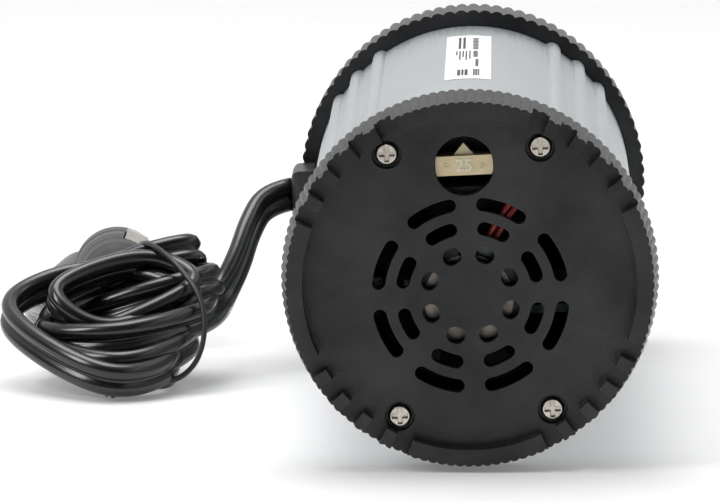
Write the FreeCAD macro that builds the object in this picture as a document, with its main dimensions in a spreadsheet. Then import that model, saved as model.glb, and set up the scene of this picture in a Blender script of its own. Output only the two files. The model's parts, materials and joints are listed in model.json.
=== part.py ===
import FreeCAD, Part
import Sketcher
import math
import os
import re

Vector = FreeCAD.Vector
doc = FreeCAD.newDocument("car_inverter")

# Driving dimensions, all in millimetres or degrees.
# The can is drawn upright: z runs from the rim of the fan end to the outlet end,
# and local -y is the side that faces up when the can lies down.
SIZES = {
    "can_length": 155.0, "ring_radius": 35.6, "roll_angle": 2.9,
    # base cap: knurled ring with a recessed grille face
    "base_front_radius": 34.5, "base_depth": 10.3, "base_teeth": 124, "base_knurl": 0.35,
    "recess_radius": 31.3, "recess_depth": 3.5, "plate_thick": 2.5,
    "notch_angle": 5.7, "notch_pitch": 9.8,
    "grille_offset": 2.55, "spoke_width": 3.8, "fuse_offset": 21.95, "fuse_hole_radius": 5.6,
    # outlet cap
    "outlet_start": 138.0, "outlet_end_radius": 35.0, "outlet_teeth": 88, "outlet_knurl": 0.55,
    "outlet_wall": 5.0,
    # body tube with twelve rounded ribs in four groups of three
    "tube_start": 6.2, "tube_end": 149.5, "panel_radius": 32.3, "tube_bore": 30.4,
    "rib_radius": 1.9, "rib_centre": 31.5, "rib_pitch": 11.2, "fit_gap": 0.15,
    "screw_x": 14.35, "screw_y": 24.85, "channel_radius": 2.2, "channel_bore": 1.25,
    "screw_head": 2.25, "screw_head_high": 1.6, "screw_shank": 1.2, "screw_long": 9.0,
    "cross_long": 3.0, "cross_wide": 0.85, "cross_deep": 1.15,
    "label_wide": 9.0, "label_long": 69.5, "label_start": 51.0, "label_x": 0.9, "label_thick": 0.1,
    # fan
    "fan_side": 40.0, "fan_deep": 10.0, "fan_start": 7.6, "fan_bore": 18.9,
    "hub_radius": 10.4, "blade_radius": 18.3, "shaft_radius": 0.75, "arm_thick": 1.6, "bushing_radius": 2.1,
    "cup_radius": 9.9,
    # fuse
    "fuse_width": 10.9, "fuse_thick": 3.7, "fuse_head": 5.2, "fuse_front": 4.2, "blade_offset": 3.95,
    # mains socket and panel parts
    "socket_radius": 19.6, "socket_deep": 17.5, "socket_wall": 1.2, "socket_offset": 6.0,
    "pin_spacing": 19.0, "pin_hole_radius": 2.5, "shutter_travel": 5.2,
    "usb_y": 24.6, "switch_x": 25.4, "switch_y": 2.0, "led_x": 25.6,
    # board
    "board_y": 9.0, "board_wide": 50.0, "board_start": 24.0, "board_end": 122.0, "board_thick": 1.6,
    # cord, gland and plug
    "cord_section": 2.5, "gland_out": 37.0, "gland_z": 129.5, "gland_long": 13.0, "gland_high": 11.4,
    "grip_radius": 9.2, "barrel_radius": 8.9, "grip_long": 27.0, "barrel_long": 29.0,
    "boot_long": 14.0,
}

sheet = doc.addObject("Spreadsheet::Sheet", "Sizes")
sheet.Label = "Sizes"
for row, (alias, number) in enumerate(SIZES.items(), start=1):
    sheet.set("A%d" % row, alias)
    sheet.set("B%d" % row, str(number))
    sheet.setAlias("B%d" % row, alias)
doc.recompute()

finished = []


def size(alias):
    """Read one driving dimension from the sheet."""
    return float(sheet.get(alias))


def formula(text):
    """Turn a formula in alias names into one that reads the sheet."""
    def reference(match):
        word = match.group(0)
        return "Sizes." + word if word in SIZES else word
    return re.sub(r"[a-z][a-z_]*", reference, str(text))


def bind(item, **formulas):
    """Bind properties of an object to formulas in the sheet's aliases."""
    for name, text in formulas.items():
        item.setExpression(name, formula(text))


def set_place(item, at, axis=(0, 0, 1), turn=0.0):
    """Place a building block: formulas for the position, then an axis and a turn about it."""
    tilt = FreeCAD.Rotation(Vector(0, 0, 1), Vector(*axis))
    spin = FreeCAD.Rotation(Vector(0, 0, 1), turn)
    item.Placement = FreeCAD.Placement(Vector(0, 0, 0), tilt.multiply(spin))
    for letter, text in zip("xyz", at):
        item.setExpression("Placement.Base." + letter, formula(text))


def cylinder(radius, height, at=(0, 0, 0), axis=(0, 0, 1)):
    item = doc.addObject("Part::Cylinder", "cylinder")
    bind(item, Radius=radius, Height=height)
    set_place(item, at, axis)
    return item


def cone(radius_low, radius_high, height, at=(0, 0, 0), axis=(0, 0, 1)):
    item = doc.addObject("Part::Cone", "cone")
    bind(item, Radius1=radius_low, Radius2=radius_high, Height=height)
    set_place(item, at, axis)
    return item


def box(wide, high, deep, centre=(0, 0), start=0):
    """A box centred on x and y, running up in z from start."""
    item = doc.addObject("Part::Box", "box")
    bind(item, Length=wide, Width=high, Height=deep)
    x, y = centre
    set_place(item, ("%s - (%s) / 2" % (x, wide), "%s - (%s) / 2" % (y, high), start))
    return item


def fan_arm(length, wide, high, inner, spin, level):
    """A bar that starts at inner, given before it is turned by spin about the fan's axis."""
    item = doc.addObject("Part::Box", "arm")
    bind(item, Length=length, Width=wide, Height=high)
    corner = spin.multVec(inner)
    item.Placement = FreeCAD.Placement(corner, spin)
    item.setExpression("Placement.Base.y", formula("grille_offset + %.5f" % corner.y))
    item.setExpression("Placement.Base.z", formula("%s + %.5f" % (level, corner.z)))
    return item


def feature(shape):
    """Keep a shape that neither a sketch nor a primitive gives."""
    item = doc.addObject("Part::Feature", "shape")
    item.Shape = shape
    return item


def joined(items):
    if len(items) == 1:
        return items[0]
    item = doc.addObject("Part::MultiFuse", "joined")
    item.Shapes = items
    return item


def cut(base, tools):
    item = doc.addObject("Part::Cut", "cut")
    item.Base = base
    item.Tool = joined(tools)
    return item


def common(first, second):
    item = doc.addObject("Part::Common", "common")
    item.Base = first
    item.Tool = second
    return item


def group(items):
    """Several separate solids that share one node."""
    item = doc.addObject("Part::Compound", "group")
    item.Links = items
    return item


def finish(label, item, place):
    """Name a finished sub-part and put it where it belongs."""
    if item.TypeId in ("Part::Box", "Part::Cylinder"):
        item = group([item])
    item.Label = label
    item.Placement = place
    finished.append(item)
    return item


def origin_plane(body, role):
    return [plane for plane in body.Origin.OriginFeatures if plane.Role == role][0]


def profile_sketch(body, role, points):
    """A closed outline of straight lines; each point is a pair of formulas."""
    sketch = body.newObject("Sketcher::SketchObject", "outline")
    sketch.AttachmentSupport = [(origin_plane(body, role), "")]
    sketch.MapMode = "FlatFace"
    count = len(points)
    start = [Vector(number(x), number(y), 0) for x, y in points]
    for index in range(count):
        sketch.addGeometry(Part.LineSegment(start[index], start[(index + 1) % count]), False)
    for index in range(count):
        sketch.addConstraint(Sketcher.Constraint("Coincident", index, 2, (index + 1) % count, 1))
    for index, point in enumerate(points):
        for kind, text, place in zip(("DistanceX", "DistanceY"), point, start[index]):
            slot = sketch.addConstraint(Sketcher.Constraint(kind, -1, 1, index, 1, place))
            sketch.setExpression("Constraints[%d]" % slot, formula(text))
    return sketch


def number(text):
    """The present value of a formula of plain sums and products of aliases."""
    def replace(match):
        return repr(size(match.group(0)))
    parts = re.sub(r"[a-z][a-z_]*", replace, str(text))
    return FreeCAD.Units.Quantity(parts).Value


def revolved(points):
    """A body turned about its own z axis from an outline of (radius, height) formulas."""
    body = doc.addObject("PartDesign::Body", "turned")
    sketch = profile_sketch(body, "XZ_Plane", points)
    turn = body.newObject("PartDesign::Revolution", "turn")
    turn.Profile = sketch
    turn.ReferenceAxis = (sketch, ["V_Axis"])
    turn.Angle = 360.0
    body.Tip = turn
    return body


def bench_shift():
    """From the rim of the fan end to the middle of the can's footprint."""
    return Vector(0, -size("can_length") / 2, 0)


def lying_can():
    """The can lies on its two rings, with the fan end towards -y and rolled a little."""
    roll = FreeCAD.Rotation(Vector(0, 0, 1), -size("roll_angle"))
    lay = FreeCAD.Rotation(Vector(1, 0, 0), -90)
    base = bench_shift() + Vector(0, 0, size("ring_radius"))
    return FreeCAD.Placement(base, lay.multiply(roll))


CAN = lying_can()
BENCH = FreeCAD.Placement(bench_shift(), FreeCAD.Rotation())


# ---------------------------------------------------------------- rings and tube

def knurled_prism(teeth, depth, low, high):
    """A straight or tapered disc whose edge is a row of rounded teeth; low and high are (radius, z)."""
    drops = (1.0, 0.25, 0.0, 0.25)
    phase = size("roll_angle") + 90.0

    def outline(radius, level):
        corners = []
        for tooth in range(int(teeth)):
            for quarter, drop in enumerate(drops):
                angle = math.radians(phase + 360.0 / teeth * (tooth - 0.5 + quarter / 4.0))
                reach = radius * (1 - depth / size("ring_radius") * drop)
                corners.append(Vector(reach * math.cos(angle), reach * math.sin(angle), level))
        return corners

    bottom = outline(*low)
    top = outline(*high)
    faces = [Part.Face(Part.makePolygon(ring + ring[:1])) for ring in (bottom, top)]
    for index in range(len(bottom)):
        after = (index + 1) % len(bottom)
        corners = [bottom[index], bottom[after], top[after], top[index], bottom[index]]
        faces.append(Part.Face(Part.makePolygon(corners)))
    return feature(Part.Solid(Part.Shell(faces)))


def rib_angles():
    """Three ribs about each of the four diagonals."""
    pitch = size("rib_pitch")
    return [45 + 90 * corner + pitch * step for corner in range(4) for step in (-1, 0, 1)]


def tube_envelope(gap, start, end):
    """The outside of the tube, ribs included, grown by gap."""
    length = "(%s) - (%s)" % (end, start)
    parts = [cylinder("panel_radius + %s" % gap, length, (0, 0, start))]
    for angle in rib_angles():
        across = math.cos(math.radians(angle))
        down = math.sin(math.radians(angle))
        place = ("rib_centre * %.6f" % across, "rib_centre * %.6f" % down, start)
        parts.append(cylinder("rib_radius + %s" % gap, length, place))
    return joined(parts)


def screw_places():
    return [("screw_x * %d" % side, "screw_y * %d" % end) for side in (-1, 1) for end in (-1, 1)]


def make_body_tube():
    length = "tube_end - tube_start"
    skin = cut(tube_envelope("0", "tube_start", "tube_end"),
               [cylinder("tube_bore", length, (0, 0, "tube_start"))])
    channels = [cylinder("channel_radius", length, (x, y, "tube_start")) for x, y in screw_places()]
    bores = [cylinder("channel_bore", length, (x, y, "tube_start")) for x, y in screw_places()]
    bores.append(box("6", "7.6", "4.4", ("-31", "0"), "gland_z - 2.2"))
    finish("body_tube", cut(joined([skin] + channels), bores), CAN)


def slot_outline(outer, inner, level):
    """One grille slot about the x axis: two long arcs closed by two round ends."""
    middle = (outer + inner) / 2
    round_end = (outer - inner) / 2
    half = math.radians(22.5) - math.asin((size("spoke_width") / 2 + round_end) / middle)
    half = max(half, 0.03)

    def polar(radius, angle):
        return Vector(radius * math.cos(angle), radius * math.sin(angle), level)

    def end_point(side):
        centre = polar(middle, side * half)
        away = Vector(-math.sin(side * half), math.cos(side * half), 0) * side
        return centre + away * round_end

    edges = [Part.Arc(polar(outer, -half), polar(outer, 0), polar(outer, half)).toShape(),
             Part.Arc(polar(outer, half), end_point(1), polar(inner, half)).toShape(),
             Part.Arc(polar(inner, half), polar(inner, 0), polar(inner, -half)).toShape(),
             Part.Arc(polar(inner, -half), end_point(-1), polar(outer, -half)).toShape()]
    return Part.Face(Part.Wire(edges))


def grille_cutter():
    """Three rings of eight slots through the plate."""
    level = size("recess_depth") - 0.5
    through = Vector(0, 0, size("plate_thick") + 1.0)
    slots = []
    for outer, inner in ((18.6, 16.1), (14.1, 11.6), (9.6, 6.5)):
        for step in range(8):
            face = slot_outline(outer, inner, level)
            face.rotate(Vector(0, 0, 0), Vector(0, 0, 1), 22.5 + 45 * step)
            face.translate(Vector(0, size("grille_offset"), 0))
            slots.append(face.extrude(through))
    return feature(Part.makeCompound(slots))


def notch_cutter():
    """Five gaps through the rim between each pair of long arcs leave four short teeth."""
    reach = size("ring_radius") + 2
    half = math.radians(size("notch_angle") / 2)
    wedges = []
    for corner in range(4):
        for step in range(-2, 3):
            middle = math.radians(45 + 90 * corner + size("notch_pitch") * step)
            corners = [Vector(0, 0, -1)]
            for side in (-1, 1):
                angle = middle + side * half
                corners.append(Vector(reach * math.cos(angle), reach * math.sin(angle), -1))
            face = Part.Face(Part.makePolygon(corners + corners[:1]))
            wedges.append(face.extrude(Vector(0, 0, size("recess_depth") + 1)))
    return feature(Part.makeCompound(wedges))


def make_base_cap():
    blank = knurled_prism(size("base_teeth"), size("base_knurl"),
                          (size("base_front_radius"), 0), (size("ring_radius"), size("base_depth")))
    back = "recess_depth + plate_thick"
    tools = [cylinder("recess_radius", "recess_depth + 1", (0, 0, -1)),
             tube_envelope("fit_gap", back, "base_depth + 1"),
             cylinder("fuse_hole_radius", "plate_thick + 2", (0, "-fuse_offset", "recess_depth - 1")),
             grille_cutter(),
             notch_cutter()]
    for x, y in screw_places():
        tools.append(cylinder("screw_head + 0.55", "1.7", (x, y, "recess_depth - 0.1")))
        tools.append(cylinder("screw_shank + 0.3", "plate_thick + 2", (x, y, "recess_depth - 1")))
    finish("base_cap", cut(blank, tools), CAN)


def make_outlet_cap():
    blank = knurled_prism(size("outlet_teeth"), size("outlet_knurl"),
                          (size("ring_radius"), size("outlet_start")),
                          (size("outlet_end_radius"), size("can_length")))
    wall = "can_length - outlet_wall"
    through = "outlet_wall + 2"
    start = wall + " - 1"
    tools = [tube_envelope("fit_gap", "outlet_start - 1", wall),
             cylinder("socket_radius + socket_wall + 0.1", through, (0, "-socket_offset", start)),
             box("14.6", "7.6", through, (0, "usb_y"), start),
             box("6.8", "11.4", through, ("switch_x", "switch_y"), start),
             cylinder("1.6", through, ("-led_x", "switch_y", start))]
    for x, y in screw_places():
        tools.append(cylinder("screw_head + 0.35", "2", (x, y, "can_length - 1.8")))
        tools.append(cylinder("screw_shank + 0.3", through, (x, y, start)))
    finish("outlet_cap", cut(blank, tools), CAN)


def make_screws(label, face, direction):
    """Four pan-head cross screws; face is the plane under the heads."""
    screws = []
    for x, y in screw_places():
        head = cone("screw_head", "screw_head * 0.8", "screw_head_high", (x, y, face), (0, 0, -direction))
        shank = cylinder("screw_shank", "screw_long", (x, y, face), (0, 0, direction))
        top = "%s - %d * (screw_head_high + 0.1)" % (face, direction)
        floor = top if direction > 0 else top + " - cross_deep"
        arms = [box("cross_long", "cross_wide", "cross_deep", (x, y), floor),
                box("cross_wide", "cross_long", "cross_deep", (x, y), floor)]
        screws.append(cut(joined([head, shank]), arms))
    finish(label, group(screws), CAN)


def make_rating_label():
    """A thin printed strip along the top panel."""
    film = cut(cylinder("panel_radius + label_thick", "label_long", (0, 0, "label_start")),
               [cylinder("panel_radius", "label_long + 2", (0, 0, "label_start - 1"))])
    window = box("label_wide", "12", "label_long + 4", ("label_x", "-panel_radius"), "label_start - 2")
    strip = common(film, window)
    finish("rating_label", strip, CAN)


# ---------------------------------------------------------------- fan

def make_fan_frame():
    centre = (0, "grille_offset", "fan_start")
    block = common(box("fan_side", "fan_side", "fan_deep", (0, "grille_offset"), "fan_start"),
                   cylinder("fan_side * 0.68", "fan_deep", centre))
    throat = cylinder("fan_bore", "fan_deep + 2", (0, "grille_offset", "fan_start - 1"))
    shell = cut(block, [throat])
    arms = []
    for turn in (45, 135, 225, 315):
        spin = FreeCAD.Rotation(Vector(0, 0, 1), turn)
        inner = Vector(size("hub_radius") - 0.7, -1.1, 0)
        arms.append(fan_arm("fan_bore - hub_radius + 1.4", "2.2", "arm_thick", inner, spin, "fan_start"))
    window = box("9", "3.4", "3", ("2.5", "grille_offset - 7.6"), "fan_start - 1")
    plate = cut(cylinder("hub_radius", "arm_thick", centre),
                [cylinder("bushing_radius", "3", (0, "grille_offset", "fan_start - 1")), window])
    post = cut(cylinder("bushing_radius + 1", "7", (0, "grille_offset", "fan_start + 0.9")),
               [cylinder("bushing_radius", "9", (0, "grille_offset", "fan_start"))])
    holes = []
    for x in (-16, 16):
        for y in (-16, 16):
            holes.append(cylinder("1.7", "fan_deep + 2", (x, "grille_offset + %d" % y, "fan_start - 1")))
    finish("fan_frame", cut(joined([shell, plate, post] + arms), holes), CAN)


def make_fan_core():
    """Bushing, stator, board and foil label stay with the frame."""
    x, y = 0, "grille_offset"
    bushing = cut(cylinder("bushing_radius", "6.6", (x, y, "fan_start + 1")),
                  [cylinder("shaft_radius + 0.03", "9", (x, y, "fan_start"))])
    finish("fan_bushing", bushing, CAN)
    ring = cut(cylinder("4.6", "3.6", (x, y, "fan_start + 3.2")),
               [cylinder("bushing_radius + 1", "6", (x, y, "fan_start + 2"))])
    teeth = []
    for turn in (0, 90, 180, 270):
        spin = FreeCAD.Rotation(Vector(0, 0, 1), turn)
        teeth.append(fan_arm("4", "3.4", "3.6", Vector(3.6, -1.7, 0), spin, "fan_start + 3.2"))
    finish("fan_stator", joined([ring] + teeth), CAN)
    board = cut(cylinder("9.7", "0.8", (x, y, "fan_start + 1.7")),
                [cylinder("bushing_radius + 1.05", "3", (x, y, "fan_start + 1"))])
    finish("fan_board", board, CAN)
    finish("fan_label", cylinder("8.4", "0.08", (-0.4, "grille_offset + 1.3", "fan_start - 0.08")), CAN)


def make_fan_rotor():
    """Impeller cup with seven pitched blades, its magnet ring and its shaft."""
    x, y = 0, "grille_offset"
    cup = cut(cylinder("cup_radius", "6.2", (x, y, "fan_start + 3.4")),
              [cylinder("cup_radius - 0.8", "5.2", (x, y, "fan_start + 3.3"))])
    boss = cylinder("2.2", "1.4", (x, y, "fan_start + 8.1"))
    blades = []
    for index in range(7):
        turn = FreeCAD.Rotation(Vector(0, 0, 1), 360.0 / 7 * index)
        pitch = FreeCAD.Rotation(Vector(1, 0, 0), 38)
        root = Vector(9.5, -3.8, -0.45)
        spin = turn.multiply(pitch)
        blades.append(fan_arm("blade_radius - 8", "7.6", "0.9", root, spin, "fan_start + 6.5"))
    ring = cut(cylinder("blade_radius", "6.4", (x, y, "fan_start + 3.2")),
               [cylinder("cup_radius - 0.4", "8", (x, y, "fan_start + 2"))])
    trimmed = common(joined(blades), ring)
    bore = cylinder("shaft_radius", "12", (x, y, "fan_start"))
    finish("fan_impeller", cut(joined([cup, boss, trimmed]), [bore]), CAN)
    magnet = cut(cylinder("cup_radius - 0.8", "4.6", (x, y, "fan_start + 3.6")),
                 [cylinder("cup_radius - 1.8", "7", (x, y, "fan_start + 2"))])
    finish("fan_magnet", magnet, CAN)
    finish("fan_shaft", cylinder("shaft_radius", "8", (x, y, "fan_start + 1.5")), CAN)


# ---------------------------------------------------------------- fuse and its holder

def make_fuse():
    """A mini blade fuse, pushed in from the fan end through the round hole."""
    y = "-fuse_offset"
    head = common(box("fuse_width", "fuse_thick", "fuse_head", (0, y), "fuse_front"),
                  cylinder("fuse_hole_radius - 0.1", "fuse_head", (0, y, "fuse_front")))
    neck = box("fuse_width * 0.72", "fuse_thick * 0.8", "3.2", (0, y), "fuse_front + fuse_head - 0.2")
    ridge = size("fuse_offset") + size("fuse_thick") / 2
    foot = 0.3
    corners = [Vector(-2.0, foot - ridge, 0), Vector(2.0, foot - ridge, 0), Vector(2.0, -ridge, 0),
               Vector(0, -ridge - 2.3, 0), Vector(-2.0, -ridge, 0)]
    gable = Part.Face(Part.makePolygon(corners + corners[:1])).extrude(Vector(0, 0, 3.2))
    gable.translate(Vector(0, 0, size("fuse_front") + 0.9))
    finish("fuse_body", joined([head, neck, feature(gable)]), CAN)
    blades = [box("2.8", "0.8", "7.6", ("%d * blade_offset" % hand, y), "fuse_front + fuse_head + 3.0")
              for hand in (-1, 1)]
    bridge = box("5.1", "0.5", "0.7", (0, y), "fuse_front + fuse_head + 3.2")
    finish("fuse_blades", joined(blades + [bridge]), CAN)


def make_fuse_holder():
    """A block that hangs in the tube behind the hole, with two spring clips."""
    y = "-fuse_offset - 0.6"
    start = "fuse_front + fuse_head + 3.6"
    block = box("14.2", "7.4", "12", (0, y), start)
    mouth = "fuse_front + fuse_head + 3"
    wells = [box("4.6", "3.4", "11", ("%d * blade_offset" % hand, "-fuse_offset"), mouth) for hand in (-1, 1)]
    wells.append(box("6", "2", "3", (0, "-fuse_offset"), "fuse_front + fuse_head + 2.6"))
    finish("fuse_holder", cut(block, wells), CAN)
    leaves = []
    for hand in (-1, 1):
        across = "%d * blade_offset" % hand
        for side in (-1, 1):
            leaves.append(box("3", "0.5", "9", (across, "-fuse_offset + %d * 0.75" % side), start))
        leaves.append(box("3", "2", "0.6", (across, "-fuse_offset"), start + " + 8.9"))
    clips = [joined(leaves[index * 3:index * 3 + 3]) for index in range(2)]
    finish("fuse_clips", group(clips), CAN)


# ---------------------------------------------------------------- outlet end

def make_socket():
    """A round well with two pin holes, side earth clips, contacts and a child-safe shutter."""
    y = "-socket_offset"
    floor = "can_length - socket_deep"
    shell = cylinder("socket_radius + socket_wall", "socket_deep + 2", (0, y, floor + " - 2"))
    post = box("1.4", "2.4", "2.4", ("-17.8", "-socket_offset - 6.4"), floor + " - 4.3")
    outer = joined([shell, post])
    tools = [cylinder("socket_radius", "socket_deep + 1", (0, y, floor))]
    for hand in (-1, 1):
        tools.append(cylinder("pin_hole_radius", "6", ("%d * pin_spacing / 2" % hand, y, floor + " - 4")))
        beside = "-socket_offset + %d * (socket_radius + 0.9)" % hand
        tools.append(box("5", "3", "socket_deep", (0, beside), floor + " + 2"))
    finish("socket_cup", cut(outer, tools), CAN)
    clips = []
    for hand in (-1, 1):
        beside = "-socket_offset + %d * (socket_radius + 0.7)" % hand
        clips.append(box("4.2", "0.6", "12", (0, beside), floor + " + 3"))
    finish("earth_clips", group(clips), CAN)
    tab = box("1", "3.4", "1", ("-4.4", "-socket_offset - 5.8"), floor + " - 3.8")
    plate = joined([box("27", "9", "1", (0, y), floor + " - 3.5"), tab])
    slots = []
    for hand in (-1, 1):
        across = "%d * pin_spacing / 2 + shutter_travel" % hand
        slots.append(cylinder("pin_hole_radius", "3", (across, y, floor + " - 5")))
    finish("socket_shutter", cut(plate, slots), CAN)
    carrier = box("34", "14", "9", (0, y), floor + " - 13.5")
    wells = [cylinder("3.3", "8", ("%d * pin_spacing / 2" % hand, y, floor + " - 12")) for hand in (-1, 1)]
    finish("contact_carrier", cut(carrier, wells), CAN)
    tubes = []
    for hand in (-1, 1):
        across = "%d * pin_spacing / 2" % hand
        tubes.append(cut(cylinder("3.2", "7.4", (across, y, floor + " - 12")),
                         [cylinder("pin_hole_radius", "7", (across, y, floor + " - 11.4"))]))
    finish("socket_contacts", group(tubes), CAN)
    beside = "-socket_offset - 6.4"
    spring = cut(cylinder("0.9", "12", ("-17", beside, floor + " - 3.3"), (1, 0, 0)),
                 [cylinder("0.5", "14", ("-18", beside, floor + " - 3.3"), (1, 0, 0))])
    finish("shutter_spring", spring, CAN)


def make_usb():
    """A USB-A receptacle on its own small board."""
    end = "can_length - 0.4"
    shell = cut(box("14.2", "7.2", "14", (0, "usb_y"), end + " - 14"),
                [box("13", "5.8", "13.5", (0, "usb_y"), end + " - 13")])
    finish("usb_shell", shell, CAN)
    finish("usb_tongue", box("10", "1.8", "9", (0, "usb_y + 1.4"), end + " - 12.9"), CAN)
    finish("usb_board", box("16", "1.2", "17", (0, "usb_y - 4.4"), end + " - 23"), CAN)


def make_switch():
    """A small rocker in its frame on the right of the socket."""
    end = "can_length"
    flange = box("8", "13", "1.2", ("switch_x", "switch_y"), end)
    body = box("6.5", "11.1", "11", ("switch_x", "switch_y"), end + " - 11")
    hollow = box("4.9", "10", "10", ("switch_x", "switch_y"), end + " - 6.8")
    bearing = cylinder("1.15", "8", ("switch_x - 4", "switch_y", end + " - 2.2"), (1, 0, 0))
    finish("switch_frame", cut(joined([flange, body]), [hollow, bearing]), CAN)
    paddle = box("4.6", "8.6", "3.4", ("switch_x", "switch_y"), end + " - 1.6")
    axle = cylinder("1.1", "6.1", ("switch_x - 3.05", "switch_y", end + " - 2.2"), (1, 0, 0))
    finish("switch_rocker", joined([paddle, axle]), CAN)
    finish("led_lens", cylinder("1.5", "6.5", ("-led_x", "switch_y", end + " - 5.6")), CAN)


# ---------------------------------------------------------------- electronics

def make_board():
    face = "board_y - board_thick / 2"
    board = box("board_wide", "board_thick", "board_end - board_start", (0, "board_y"), "board_start")
    finish("main_board", board, CAN)

    def on_board(wide, high, long, x, z):
        """A block that stands on the upper face of the board."""
        return box(wide, high, long, (x, "%s - (%s) / 2" % (face, high)), z)

    core = cut(on_board("26", "22", "24", 0, 62), [on_board("18", "16", "26", 0, 61)])
    leg = on_board("7", "16.4", "24", 0, 62)
    finish("transformer_core", joined([core, leg]), CAN)
    winding = cut(on_board("17.4", "15.4", "28", 0, 60), [on_board("7.4", "17", "24.6", 0, 61.7)])
    finish("transformer_winding", winding, CAN)
    stand = (0, -1, 0)
    caps = [cylinder("5", "15", (x, face, z), stand) for x, z in (("-12", "32"), ("0", "32"), ("12", "32"))]
    finish("input_capacitors", group(caps), CAN)
    finish("mains_capacitor", cylinder("7", "20", ("-8", face, "103"), stand), CAN)
    finish("filter_capacitor", on_board("12", "9", "6", 10, 94), CAN)
    parts = []
    for x in (-19, -9, 9, 19):
        parts.append(on_board("9", "14", "3", x, 48))
    finish("transistors", group(parts), CAN)
    finish("transistor_pad", on_board("46", "15", "0.5", 0, 51.1), CAN)
    finish("heat_plate", on_board("46", "17", "2", 0, 51.7), CAN)
    finish("transistor_clamp", on_board("44", "3", "1.2", 0, 46.7), CAN)
    choke = cut(cylinder("7", "8", ("10", face, "109"), stand),
                [cylinder("3", "10", ("10", "board_y", "109"), stand)])
    finish("choke", choke, CAN)


def tube_along(points, radius):
    """Straight runs joined by tangent arcs as large as the runs allow; prints the arcs' radii."""
    runs = [(after - before).Length for before, after in zip(points, points[1:])]
    edges = []
    radii = []
    start = points[0]
    for index in range(1, len(points) - 1):
        into = (points[index] - points[index - 1]).normalize()
        away = (points[index + 1] - points[index]).normalize()
        turn = into.getAngle(away)
        reach = 0.45 * min(runs[index - 1], runs[index])
        radii.append(reach / math.tan(turn / 2))
        first = points[index] - into * reach
        last = points[index] + away * reach
        middle_way = (away - into).normalize()
        centre_gap = radii[-1] / math.cos(turn / 2)
        middle = points[index] + middle_way * (centre_gap - radii[-1])
        edges.append(Part.LineSegment(start, first).toShape())
        edges.append(Part.Arc(first, middle, last).toShape())
        start = last
    edges.append(Part.LineSegment(start, points[-1]).toShape())
    path = Part.Wire(edges)
    section = Part.Wire(Part.makeCircle(radius, points[0], points[1] - points[0]))
    solid = path.makePipeShell([section], True, False)
    ideal = math.pi * radius * radius * path.Length
    print("tube length %.1f, radii %s, volume ratio %.4f"
          % (path.Length, ["%.1f" % r for r in radii], solid.Volume / ideal))
    return solid


def make_wiring():
    """Leads inside the can; they are held by the board and the parts that they reach."""
    lead = [Vector(-28, 0, 129.5), Vector(-25.2, 2, 127), Vector(-23.2, 5, 122.8)]
    pair = [tube_along([point + Vector(0, offset, 0) for point in lead], 1.1) for offset in (-1.5, 1.5)]
    finish("input_wires", feature(Part.makeCompound(pair)), CAN)
    out = [Vector(-6, 6, 117.6), Vector(-7, 2.4, 120.6), Vector(-7.6, -1.6, 123.9)]
    pair = [tube_along(out, 0.9), tube_along([Vector(-p.x, p.y, p.z) for p in out], 0.9)]
    finish("output_wires", feature(Part.makeCompound(pair)), CAN)
    red = [Vector(3.2, -7, 6.75), Vector(6.4, -12, 6.75), Vector(10.2, -16.4, 7.2), Vector(13, -19.3, 11),
           Vector(13.6, -20, 19)]
    dark = [point + Vector(1.5, 0.3, 0.0) for point in red]
    finish("fan_wires", feature(Part.makeCompound([tube_along(red, 0.6), tube_along(dark, 0.6)])), CAN)


# ---------------------------------------------------------------- gland, cord and plug

def make_gland():
    """A small rounded block on the side of the tube, with a slot for the flat cord."""
    centre = size("gland_z")
    out = size("gland_out")
    block = Part.makeBox(out - 32.35, size("gland_high"), size("gland_long"),
                         Vector(-out, -size("gland_high") / 2, centre - size("gland_long") / 2))
    outer = [edge for edge in block.Edges if edge.BoundBox.XMax < -out + 0.01]
    block = block.makeFillet(1.6, outer)
    block = block.cut(Part.makeCylinder(size("panel_radius") + 0.05, 40, Vector(0, 0, centre - 20)))
    neck = Part.makeBox(6, 7.2, 4.0, Vector(-33.5, -3.6, centre - 2.0))
    flange = Part.makeBox(1.2, 10, 7, Vector(-30.2 + 0.9, -5, centre - 3.5))
    slot = Part.makeBox(12, 5.2, 2.4, Vector(-38, -2.6, centre - 1.2))
    finish("cable_gland", feature(block.fuse([neck, flange]).removeSplitter().cut(slot)), CAN)


# Routes of the cord beside the can: across, depth from the fan-end rim, height.
LEAD = [(-37.05, 129.4, 34.0), (-42.6, 127.2, 33.2), (-45.6, 119.8, 28.4), (-47.6, 113.6, 22.0),
        (-51.2, 108.6, 15.4)]
TAIL = [(-77.4, 201.3, 7.65), (-77.6, 209.6, 6.0), (-77.4, 218.0, 4.2), (-78.6, 224.6, 3.0),
        (-82.6, 228.2, 2.7), (-87.2, 226.2, 2.7), (-88.8, 219.0, 2.7), (-90.2, 206.0, 2.7),
        (-92.2, 190.5, 2.7), (-94.0, 175.0, 2.8), (-92.8, 158.0, 3.6), (-88.0, 142.0, 5.2),
        (-82.6, 130.0, 7.6), (-79.0, 120.6, 9.8)]
HANK_CENTRE = (-73.2, 98.0, 13.6)
HANK_HALF = (23.0, 26.5, 14.6)
FLOOR_GAP = 0.1
TIE_ACROSS = 15.2
TIE_GAP = 1.7
TIE_WIRE = 0.6
# Where the plug's tail lies, the way to its nose and the side with a contact.
PLUG_TAIL = (-76.6, 187.4, 9.3)
PLUG_ALONG = (3.2, -55.4, 6.6)
PLUG_SIDE = (0.45, 0, 0.89)


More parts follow.
